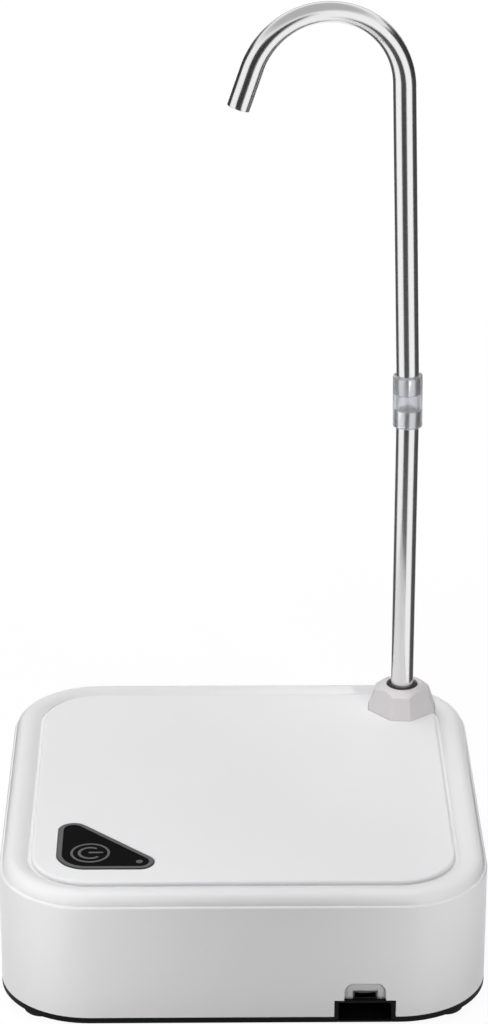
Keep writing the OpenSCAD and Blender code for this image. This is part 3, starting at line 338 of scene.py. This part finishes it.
# %% Finishes inside the case
plastic("hose", (0.72, 0.71, 0.68), 0.45, bump=0.03, Transmission_Weight=0.35)
plastic("fitting", (0.06, 0.06, 0.063), 0.5, grain=1500.0, bump=0.1)
plastic("nut_plastic", (0.6, 0.6, 0.6), 0.5, bump=0.05)
plastic("gear_plastic", (0.78, 0.74, 0.64), 0.4, bump=0.03)
plastic("cap_plastic", (0.8, 0.79, 0.74), 0.45, bump=0.04)
plastic("magnet", (0.06, 0.058, 0.058), 0.7, grain=900.0, bump=0.2)
plastic("cell_wrap", (0.03, 0.12, 0.36), 0.3, drift=0.08, bump=0.05)
plastic("chip_black", (0.02, 0.02, 0.021), 0.6, grain=1800.0, bump=0.15)
plastic("plunger", (0.6, 0.54, 0.38), 0.5, bump=0.04)
plastic("lead", (0.12, 0.02, 0.02), 0.5, drift=0.3, bump=0.05)
metal("screw_steel", (0.55, 0.56, 0.58), 0.35)
metal("pin_steel", (0.62, 0.62, 0.64), 0.2)
metal("can_steel", (0.58, 0.59, 0.6), 0.28)
metal("bronze", (0.55, 0.4, 0.18), 0.45)
metal("core_steel", (0.3, 0.3, 0.32), 0.5)
metal("copper", (0.62, 0.26, 0.1), 0.35)
metal("socket_nickel", (0.1, 0.1, 0.103), 0.42)
lacquered = {"Lacquer": (0.02, 0.17, 0.06), "Copper": (0.05, 0.3, 0.1), "Size": 320.0}
finish("board_green", tracks, lacquered, bump=0.2, Roughness=0.35)
print("finishes so far:", len(finishes))

# %% [markdown]
# ## Steel and clear silicone
# The spout is polished stainless tube. Its streaks run along the tube, also round the bend, so
# they follow a UV map that is laid along the tube. The sleeve that joins its two lengths is clear
# silicone, a little cloudy, so it lets most light through and scatters the rest.

# %% Steel and silicone
metal(
    "tube_steel", (0.86, 0.855, 0.855), 0.19, effect=streaks,
    drift=0.06, gloss_drift=0.08, bump=0.02, bump_size=0.02,
)
plastic(
    "clear_silicone", (0.93, 0.943, 0.985), 0.25, gloss_drift=0.06, bump=0.02,
    Transmission_Weight=0.78, IOR=1.41,
)
plastic("lens", (0.05, 0.052, 0.054), 0.25, bump=0.01, Transmission_Weight=0.3)
print("finishes in all:", len(finishes))

# %% [markdown]
# ## Dressing the CAD nodes
# The record names a material slot for each node. The finishes have the slots' names, so each
# node's own slot picks its finish. The shapes stay exactly as CAD made them. One node differs:
# the socket's shell is steel as the motor's is, but plated dark.

# %% Give each node its finish
used = set()
for part in frame["record"]["subparts"]:
    node = nodes[part["node"]]
    node.data.materials.clear()
    node.data.materials.append(finishes[part["material_slot"]])
    used.add(part["material_slot"])
nodes["usb_socket"].data.materials[0] = finishes["socket_nickel"]
print("dressed", len(nodes), "nodes with", len(used), "finishes and the socket's own")

# %% [markdown]
# ## Turning rings of points into a piece
# Tubes, sleeves and raised lines are all made the same way: a row of rings, each a closed loop of
# points, joined by four-sided faces. One helper does that for all of them and lays a UV map with
# U round the ring and V along the row, which the steel's streaks follow.


def from_rings(name, rings, closed, body, finish_name, lengths=None):
    """A smooth mesh from rings of equal count. closed joins the last ring to the first."""
    count, rows = len(rings[0]), len(rings)
    verts = [tuple(p) for ring in rings for p in ring]
    faces, flat = [], []
    for i in range(rows if closed else rows - 1):
        a, b = i * count, (i + 1) % rows * count
        for k in range(count):
            m = (k + 1) % count
            faces.append((a + k, a + m, b + m, b + k))
            v0, v1 = (lengths[i], lengths[i + 1]) if lengths else (i / rows, (i + 1) / rows)
            u0, u1 = k / count, (k + 1) / count
            flat += [(u0, v0), (u1, v0), (u1, v1), (u0, v1)]
    if not closed:
        faces += [tuple(range(count))[::-1], tuple(range((rows - 1) * count, rows * count))]
        flat += [(0, 0)] * (2 * count)
    mesh = bpy.data.meshes.new(name)
    mesh.from_pydata(verts, [], faces)
    layer = mesh.uv_layers.new(name="along")
    for loop, uv in zip(layer.data, flat):
        loop.uv = uv
    shell = bmesh.new()
    shell.from_mesh(mesh)
    bmesh.ops.recalc_face_normals(shell, faces=shell.faces)
    shell.to_mesh(mesh)
    shell.free()
    mesh.shade_smooth()
    mesh.materials.append(finishes[finish_name])
    piece = bpy.data.objects.new(name, mesh)
    bpy.context.scene.collection.objects.link(piece)
    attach(piece, body)
    return piece


def ring(centre, side, other, radius, count):
    turns = [2 * math.pi * k / count for k in range(count)]
    return [centre + radius * (math.cos(t) * side + math.sin(t) * other) for t in turns]


print("ring builder ready")

# %% [markdown]
# ## The steel spout
# The spout is two lengths of 8 mm tube with a half millimetre wall. CAD has them round all along,
# with square cut ends. Real cut tube has a fine rounded lip, which catches the light at the
# nozzle, and tube that is bent this tightly flattens a little in the bend. So both lengths are
# swept again along the same line, with both, and stand in for the CAD solids. The upper length
# leans slightly in its soft sleeve, so its line is worked out upright and then tipped.

# %% The spout's line
TUBE_R, BORE_R, STOP = 4.0 * MM, 3.5 * MM, 5.7 * MM
low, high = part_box("lower_tube")
SPOUT = Vector(((low.x + high.x) / 2, (low.y + high.y) / 2, 0))
HOOK_Z, HOOK_R, HOOK_TURN, NOZZLE = 277.5 * MM, 26.5 * MM, math.radians(159), 14 * MM
HOOK_HEADING, LEAN_ANGLE = math.radians(10), math.radians(-1.7)
HOOK_WAY = Vector((-math.cos(HOOK_HEADING), -math.sin(HOOK_HEADING), 0))
FLATTENED = 0.12
STRAIGHT_STOPS, BEND_STOPS, NOZZLE_STOPS = 10, 72, 6
UP = Vector((0, 0, 1))
JOINT = SPOUT + UP * (high.z + STOP / 2)
LEAN = Matrix.Rotation(LEAN_ANGLE, 3, "Y")


def leaned(point):
    """Where a point on the upright upper tube comes to lie when the tube leans."""
    return JOINT + LEAN @ (point - JOINT)


def straight_line(z0, z1):
    """Rows of (point, side, flattening) up the spout's axis."""
    heights = [z0 + (z1 - z0) * i / STRAIGHT_STOPS for i in range(STRAIGHT_STOPS + 1)]
    return [(SPOUT + UP * z, HOOK_WAY, 0.0) for z in heights]


def hooked_line(z0):
    """The upper tube's line: up, round the bend and down to the nozzle."""
    line = straight_line(z0, HOOK_Z)
    centre = SPOUT + UP * HOOK_Z + HOOK_WAY * HOOK_R
    for i in range(1, BEND_STOPS + 1):
        t = HOOK_TURN * i / BEND_STOPS
        inward = HOOK_WAY * math.cos(t) - UP * math.sin(t)
        flat = FLATTENED * math.sin(math.pi * i / BEND_STOPS)
        line.append((centre - inward * HOOK_R, inward, flat))
    end, inward, _ = line[-1]
    ahead = HOOK_WAY * math.sin(HOOK_TURN) + UP * math.cos(HOOK_TURN)
    steps = [NOZZLE * i / NOZZLE_STOPS for i in range(1, NOZZLE_STOPS + 1)]
    line += [(end + ahead * step, inward, 0.0) for step in steps]
    return [(leaned(p), LEAN @ side, flat) for p, side, flat in line]


print("spout axis at", tuple(round(v, 4) for v in SPOUT), "joint at", round(JOINT.z, 4))

# %% Sweep the two tubes
TUBE_SIDES, LIP_STEPS = 56, 8


def swept_tube(name, line, body):
    """A tube with a wall: out along the line, round the far lip, back inside, round the near."""
    across = HOOK_WAY.cross(UP)
    wall, middle = (TUBE_R - BORE_R) / 2, (TUBE_R + BORE_R) / 2
    (first, first_side, _), (last, last_side, _) = line[0], line[-1]
    back, ahead = (first - line[1][0]).normalized(), (last - line[-2][0]).normalized()
    lip = [math.pi * k / LIP_STEPS for k in range(1, LIP_STEPS)]
    dips = [wall * (1 - math.sin(t)) for t in lip]
    bulges = [wall * math.cos(t) for t in lip]
    outer = [(p, side, TUBE_R, flat) for p, side, flat in line]
    outer[0] = (first - back * wall, first_side, TUBE_R, 0.0)
    outer[-1] = (last - ahead * wall, last_side, TUBE_R, 0.0)
    lip_end = [(last - ahead * d, last_side, middle + b, 0.0) for d, b in zip(dips, bulges)]
    inner = [(p, side, BORE_R, flat) for p, side, _, flat in reversed(outer)]
    lip_start = [(first - back * d, first_side, middle - b, 0.0) for d, b in zip(dips, bulges)]
    rows = outer + lip_end + inner + lip_start
    lengths = [0.0]
    for a, b in zip(rows, rows[1:] + rows[:1]):
        lengths.append(lengths[-1] + (b[0] - a[0]).length / (2 * math.pi * TUBE_R))
    rings = [
        ring(p, side * (1 - flat), across * (1 + flat / 2), r, TUBE_SIDES)
        for p, side, r, flat in rows
    ]
    return from_rings(name, rings, True, body, "tube_steel", lengths)


lower = swept_tube("lower_spout", straight_line(low.z, high.z), "spout")
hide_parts("lower_tube")
hook = swept_tube("hooked_spout", hooked_line(high.z + STOP), "hook")
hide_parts("hook_tube")
print("tubes:", len(lower.data.polygons), "and", len(hook.data.polygons), "faces")

# %% [markdown]
# ## The silicone sleeve
# A short clear sleeve joins the two lengths, with a narrower ring inside that both tubes stop on.
# It could be the CAD solid, but its mouths are softly rounded in real silicone, and clear
# material shows every edge, so its outline is turned round the spout's axis ring by ring. Soft
# silicone clings to the steel without an air gap. Towards its upper end the sleeve bends over
# to the lean of the upper tube.

# %% Turn the sleeve
CLING, MOUTH_R, SLEEVE_SIDES = 0.02 * MM, 0.45 * MM, 64
CORNER_STEPS, EDGE_SHARE = 4, 2.1


def rounded(points, radius):
    """The same closed outline with each corner rounded."""
    smooth = []
    for i, p in enumerate(points):
        before, after = Vector(points[i - 1]), Vector(points[(i + 1) % len(points)])
        p = Vector(p)
        cut = min(radius, (before - p).length / EDGE_SHARE, (after - p).length / EDGE_SHARE)
        a, b = p + (before - p).normalized() * cut, p + (after - p).normalized() * cut
        for k in range(CORNER_STEPS + 1):
            t = k / CORNER_STEPS
            smooth.append(tuple(a * (1 - t) ** 2 + p * 2 * t * (1 - t) + b * t**2))
    return smooth


s_low, s_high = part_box("joint_sleeve")
sleeve_r = (s_high.x - s_low.x) / 2
stop_low, stop_high = high.z, high.z + STOP
seat = TUBE_R - CLING
outline = [
    (seat, s_low.z), (sleeve_r, s_low.z), (sleeve_r, s_high.z), (seat, s_high.z),
    (seat, stop_high), (BORE_R, stop_high), (BORE_R, stop_low), (seat, stop_low),
]
EAST, NORTH = Vector((1, 0, 0)), Vector((0, 1, 0))
rings = []
for r, z in rounded(outline, MOUTH_R):
    points = ring(SPOUT + UP * z, EAST, NORTH, r, SLEEVE_SIDES)
    bent = min(max((z - stop_low) / STOP, 0.0), 1.0)
    rings.append([p.lerp(leaned(p), bent) for p in points])
sleeve = from_rings("clear_sleeve", rings, True, "sleeve", "clear_silicone")
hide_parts("joint_sleeve")
print("sleeve from", round(s_low.z, 4), "to", round(s_high.z, 4))

# %% [markdown]
# ## The marks on the key
# The key has a thin raised ring and the usual on-off sign, turned so that its bar points to the
# right. They could be painted with a mask, but raised lines are real on a moulded key and also
# live on in an exported mesh, so each is a low bead swept along its line.

# %% Raised lines on the key
k_low, k_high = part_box("power_button")
KEY = Vector(((k_low.x + k_high.x) / 2, (k_low.y + k_high.y) / 2, k_high.z))
BEAD_W, BEAD_H, SUNK = 0.8 * MM, 0.1 * MM, 0.03 * MM
BEAD_SHAPE = [(-1, -1), (-1, 0.1), (-0.8, 0.7), (-0.4, 1), (0.4, 1), (0.8, 0.7), (1, 0.1), (1, -1)]


def bead(name, line, closed, body, finish_name, width=BEAD_W, up=UP, height=BEAD_H):
    """A low rounded line along points that lie on a flat face."""
    profile = [(x * width / 2, height * z if z > 0 else -SUNK) for x, z in BEAD_SHAPE]
    rings = []
    for i, p in enumerate(line):
        a = line[i - 1] if closed or i else p
        b = line[(i + 1) % len(line)] if closed or i + 1 < len(line) else p
        side = (b - a).normalized().cross(up)
        rings.append([p + side * x + up * z for x, z in profile])
    return from_rings(name, rings, closed, body, finish_name)


def arc(centre, radius, start, stop, steps):
    angles = [math.radians(start + (stop - start) * i / steps) for i in range(steps + 1)]
    return [centre + radius * Vector((math.cos(a), math.sin(a), 0)) for a in angles]


RING_R, SIGN_R, SIGN_W = 6.1 * MM, 3.6 * MM, 0.95 * MM
SIGN_START, SIGN_STOP, BAR_Y, BAR_X = 54, 316, 0.3, (-0.5, 0.7, 1.9, 3.1, 4.3)
bead("key_ring", arc(KEY, RING_R, 0, 360, 95)[:-1], True, "key", "print_grey")
sign = arc(KEY, SIGN_R, SIGN_START, SIGN_STOP, 60)
bead("key_sign_arc", sign, False, "key", "print_grey", SIGN_W)
bar = [KEY + Vector((x, BAR_Y, 0)) * MM for x in BAR_X]
bead("key_sign_bar", bar, False, "key", "print_grey", SIGN_W)
print("key marks at height", round(KEY.z, 5))

# %% [markdown]
# ## Round the USB socket
# The recess round the socket lies in shade and looks greyer than the wall. That shade is painted: a
# grey band, a wide, flat bead laid round the socket's sides and top, darkens the recess. Five thin
# gilt strips lie on the tongue inside the socket, where the plug makes contact.

# %% The painted shade band and the contacts
u_low, u_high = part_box("usb_socket")
SOCKET_X, OUT = (u_low.x + u_high.x) / 2, Vector((0, -1, 0))
SHADE_BAND_W, SHADE_BAND_T, SHADE_BAND_R, SHADE_BAND_GAP = 2.4 * MM, 0.25 * MM, 1.75 * MM, 0.25 * MM
band_x = (u_high.x - u_low.x) / 2 + SHADE_BAND_GAP + SHADE_BAND_W / 2
band_z = u_high.z + SHADE_BAND_GAP + SHADE_BAND_W / 2
corner = Vector((band_x - SHADE_BAND_R, 0, band_z - SHADE_BAND_R))
quarter = [math.radians(90 * i / 8) for i in range(9)]
bend = [corner + SHADE_BAND_R * Vector((math.cos(a), 0, math.sin(a))) for a in quarter]
halfway = (u_low.z + corner.z) / 2
half = [Vector((band_x, 0, u_low.z)), Vector((band_x, 0, halfway))] + bend
whole = half + [Vector((-p.x, p.y, p.z)) for p in reversed(half)]
line = [p + Vector((SOCKET_X, u_low.y, 0)) for p in whole]
# Painted shade: a grey bead round the socket's sides and top darkens the recess where its shade
# falls.
bead("usb_recess_shade", line, False, "base", "recess_shade_grey", SHADE_BAND_W, OUT, SHADE_BAND_T)

TONGUE_Z, TONGUE_Y = u_low.z + 2.1 * MM, u_low.y + 1.1 * MM
STRIP_L, STRIP_W, STRIP_T, PITCH, CONTACTS = 3.0 * MM, 0.36 * MM, 0.05 * MM, 0.7 * MM, 5
for i in range(CONTACTS):
    x = SOCKET_X + (i - CONTACTS // 2) * PITCH
    line = [Vector((x, TONGUE_Y + STRIP_L * k / 3, TONGUE_Z)) for k in range(4)]
    name = "usb_contact_%d" % (i + 1)
    bead(name, line, False, "base", "bronze", STRIP_W, UP, STRIP_T)
print("seal", round((2 * band_x + SHADE_BAND_W) / MM, 2), "mm wide, contacts:", CONTACTS)

# %% [markdown]
# ## The studio
# The picture has a pure white background. A white floor lit until it clips would also burn out
# the white base, so the floor and the world give plain white only to what the camera, mirrors
# and glass see of them, and light the object softly otherwise. The floor keeps some shadow.

# %% What is seen, and what only lights
def seen_directly(tree):
    """1 for what the camera, a reflection or clear material sees, 0 for soft light."""
    path = tree.nodes.new("ShaderNodeLightPath").outputs
    seen = maths(tree, "MAXIMUM", path["Is Camera Ray"], path["Is Glossy Ray"])
    return maths(tree, "MAXIMUM", seen, path["Is Transmission Ray"])


print("white is for the camera, mirrors and glass")

# %% [markdown]
# ## Something dark to mirror
# Polished tube looks like steel only if it has something dark to mirror, such as the unlit ends of
# a studio. Dark walls could stand round the set, but they would also take light from the base. So
# reflections, and nothing else, find dark sectors round the spout in the floor and in the low part
# of the world, a dusky back and a grey roof. The sectors stay put when the spout turns, so the
# steel mirrors them at every pose.

# %% The dark ends of the studio
# Each has two angles in degrees from the front, the nearest dark floor in metres, its height in
# the world as the sine of an elevation, and its depth. BEYOND is off the floor.
BEYOND = 40.0
DARK_ENDS = {
    "right": (68, 144, 0.03, 0.5, 0.96),
    "front": (-40, 15, 0.2, 0.5, 0.96),
    "left": (-154, -96, 0.03, 0.5, 0.96),
    "back_right": (144, 184, BEYOND, 0.3, 0.6),
    "back_left": (-184, -154, BEYOND, 0.3, 0.6),
}
SOFT_EDGE, SOFT_TOP, SOFT_START = 4.0, 0.1, 1.2
ROOF_START, ROOF_FULL, ROOF_DEPTH = 0.5, 0.8, 0.5


def ramp(tree, value, start, stop):
    """0 before start, 1 after stop, even in between."""
    wide = put(tree, "MapRange", {"Value": value, "From Min": start, "From Max": stop})
    return wide.outputs["Result"]


def mirrored_dark(tree, place, on_floor):
    """What is left of the white in a reflection, by the angle round the spout."""
    axes = put(tree, "SeparateXYZ", {0: place}).outputs
    angle = maths(tree, "ARCTAN2", axes["X"], maths(tree, "MULTIPLY", axes["Y"], -1.0))
    angle = maths(tree, "DEGREES", angle)
    flat = put(tree, "VectorMath", {0: place, 1: (1, 1, 0)}, operation="MULTIPLY")
    away = put(tree, "VectorMath", {0: flat.outputs["Vector"]}, operation="LENGTH")
    dark = 0.0
    for start, stop, near, top, depth in DARK_ENDS.values():
        begins = ramp(tree, angle, start, start + SOFT_EDGE)
        end = maths(tree, "MULTIPLY", begins, ramp(tree, angle, stop, stop - SOFT_EDGE))
        if on_floor:
            limit = ramp(tree, away.outputs["Value"], near, near * SOFT_START)
        else:
            limit = ramp(tree, axes["Z"], top, top - SOFT_TOP)
        end = maths(tree, "MULTIPLY", end, maths(tree, "MULTIPLY", limit, depth))
        dark = maths(tree, "MAXIMUM", end, dark)
    if not on_floor:
        roof = maths(tree, "MULTIPLY", ramp(tree, axes["Z"], ROOF_START, ROOF_FULL), ROOF_DEPTH)
        dark = maths(tree, "MAXIMUM", roof, dark)
    bounces = put(tree, "LightPath").outputs["Glossy Depth"]
    mirrored = maths(tree, "GREATER_THAN", bounces, 0.5)
    return maths(tree, "SUBTRACT", 1.0, maths(tree, "MULTIPLY", dark, mirrored))


print("dark ends:", ", ".join(DARK_ENDS))

# %% [markdown]
# ## Floor and world
# The floor is one sheet of white paper. It grows a little brighter with distance, so that it meets
# the white world without a line. The world gives only weak light of its own, because the lamps
# model the shapes.

# %% Floor
FLOOR_SHARE, FLOOR_NEAR, FLOOR_FAR = 0.9, 1.05, 1.13
NEAR_AT, FAR_AT, HALF_FLOOR, BELOW = 0.25, 1.0, 6.0, -0.1 * MM
PAPER, FIBRES, FIBRE_DRIFT = (0.56, 0.56, 0.565), 400.0, 0.02
paper = bpy.data.materials.new("white_paper")
paper.use_nodes = True
tree = paper.node_tree
tree.nodes.clear()
place = put(tree, "TexCoord").outputs["Object"]
fibres = noise(tree, place, FIBRES, 3)
matt = put(tree, "BsdfDiffuse", {"Color": shade(tree, PAPER, fibres, FIBRE_DRIFT)})
off = put(tree, "VectorMath", {0: place}, operation="LENGTH").outputs["Value"]
growth = {"From Min": NEAR_AT, "From Max": FAR_AT, "To Min": FLOOR_NEAR, "To Max": FLOOR_FAR}
level = put(tree, "MapRange", {"Value": off, **growth}).outputs["Result"]
from_spout = put(tree, "VectorMath", {0: place, 1: tuple(SPOUT)}, operation="SUBTRACT")
kept = mirrored_dark(tree, from_spout.outputs["Vector"], on_floor=True)
level = maths(tree, "MULTIPLY", level, kept)
white = put(tree, "Emission", {"Color": (1, 1, 1, 1), "Strength": level})
share = maths(tree, "MULTIPLY", seen_directly(tree), FLOOR_SHARE)
both = put(tree, "MixShader", {0: share, 1: matt.outputs[0], 2: white.outputs[0]})
put(tree, "OutputMaterial", {"Surface": both.outputs[0]})

mesh = bpy.data.meshes.new("floor")
signs = [(-1, -1), (1, -1), (1, 1), (-1, 1)]
corners = [(x * HALF_FLOOR, y * HALF_FLOOR, BELOW) for x, y in signs]
mesh.from_pydata(corners, [], [(0, 1, 2, 3)])
mesh.materials.append(paper)
floor = bpy.data.objects.new("floor", mesh)
bpy.context.scene.collection.objects.link(floor)
print("floor", 2 * HALF_FLOOR, "m wide")

# %% World
SOFT_WORLD = 0.03
world = bpy.data.worlds.new("studio")
bpy.context.scene.world = world
world.use_nodes = True
tree = world.node_tree
level = maths(tree, "MAXIMUM", seen_directly(tree), SOFT_WORLD)
direction = put(tree, "TexCoord").outputs["Generated"]
level = maths(tree, "MULTIPLY", level, mirrored_dark(tree, direction, on_floor=False))
tree.links.new(level, tree.nodes["Background"].inputs["Strength"])
tree.nodes["Background"].inputs["Color"].default_value = (1, 1, 1, 1)
print("soft light of the world:", SOFT_WORLD)

# %% [markdown]
# ## Lamps
# A wide soft box overhead gives most of the light, so that the tray is bright and the front wall
# darker. A second one high behind the left shoulder of the base favours whatever faces left. Three
# small ones, low down, rake along the walls, so the middle of the front wall stays darker than its
# rounded corners. A narrow spot from the right picks out the collar. Steel would mirror the lamps
# as hot spots, so reflections don't see them.

# %% Soft lamps
# Each has its place, the point it aims at, its width and height in metres, and its watts.
LAMPS = {
    "overhead": ((0, 0.0, 1.5), (0, 0, 0), 1.2, 1.2, 15.4),
    "main": ((-0.46, 0.6, 1.07), (0, 0, 0.05), 0.6, 0.6, 3.4),
    "left_side": ((-0.6, -0.05, 0.3), (-0.08, 0, 0.03), 0.3, 0.4, 0.85),
    "left_strip": ((-0.106, -0.177, 0.068), (-0.054, -0.08, 0.03), 0.04, 0.07, 0.07),
    "right_strip": ((0.113, -0.148, 0.05), (0.066, -0.075, 0.03), 0.03, 0.05, 0.036),
}
for name, (place, aim, width, height, watts) in LAMPS.items():
    data = bpy.data.lights.new(name, "AREA")
    data.shape, data.size, data.size_y, data.energy = "RECTANGLE", width, height, watts
    lamp = bpy.data.objects.new(name, data)
    lamp.location = place
    lamp.rotation_euler = (Vector(aim) - Vector(place)).to_track_quat("-Z", "Y").to_euler()
    lamp.visible_glossy = False
    bpy.context.scene.collection.objects.link(lamp)

print("soft lamps:", ", ".join(LAMPS))

# %% The spot on the collar
SPOT_PLACE, COLLAR_Z = Vector((0.35, -0.65, 0.32)), 52 * MM
SPOT_WATTS, SPOT_CONE, SPOT_BLEND, SPOT_SIZE = 20.0, math.radians(6), 1.0, 0.05
spot = bpy.data.lights.new("collar_spot", "SPOT")
spot.energy, spot.spot_size = SPOT_WATTS, SPOT_CONE
spot.spot_blend, spot.shadow_soft_size = SPOT_BLEND, SPOT_SIZE
lamp = bpy.data.objects.new("collar_spot", spot)
lamp.location = SPOT_PLACE
aim = SPOUT + UP * COLLAR_Z - SPOT_PLACE
lamp.rotation_euler = aim.to_track_quat("-Z", "Y").to_euler()
lamp.visible_glossy = False
bpy.context.scene.collection.objects.link(lamp)
print("spot:", spot.name)
